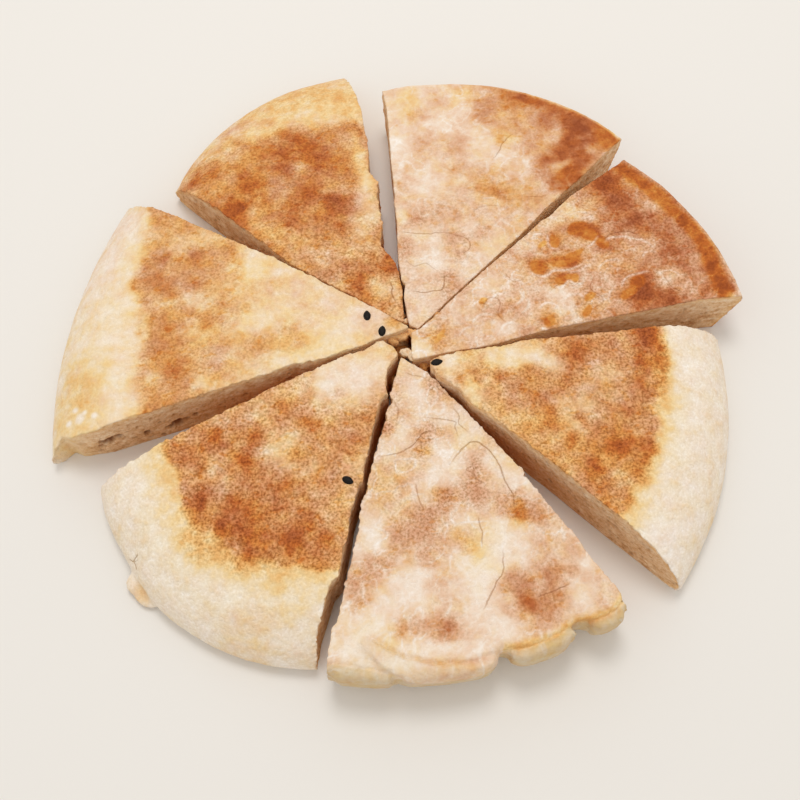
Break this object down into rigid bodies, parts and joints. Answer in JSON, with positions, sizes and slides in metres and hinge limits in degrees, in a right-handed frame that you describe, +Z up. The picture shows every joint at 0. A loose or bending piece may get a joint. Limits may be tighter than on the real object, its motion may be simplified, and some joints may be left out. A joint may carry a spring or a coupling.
{
  "type": "flatbread",
  "caption": "Round thick baked flatbread cut into wedges that lie together as the whole loaf, some with the domed side up and some turned over, with a few black sesame seeds.",
  "frame": {"origin": "on the surface that the wedges rest on, under the middle of the whole loaf", "axes": "+Z up through the loaf's thickness, -Y towards the near wedge with the lobed rim, +X to the right-hand wedge"},
  "size_m": [0.227, 0.2276, 0.0234],
  "materials": {
    "toasted_crust": "matte baked crust, cream with freckled toasted brown patches",
    "floured_crust": "matte baked crust with a thin veil of flour and soft brown spots",
    "cream_crust": "matte pale crust with a freckled toasted zone",
    "black_sesame": "satin black seed coat"
  },
  "bodies": {
    "root": {"wedge_far_left": "toasted_crust", "wedge_far": "floured_crust", "wedge_far_right": "toasted_crust", "wedge_right": "toasted_crust", "wedge_near": "floured_crust", "wedge_near_left": "toasted_crust", "wedge_left": "cream_crust"}
  },
  "joints": []
}
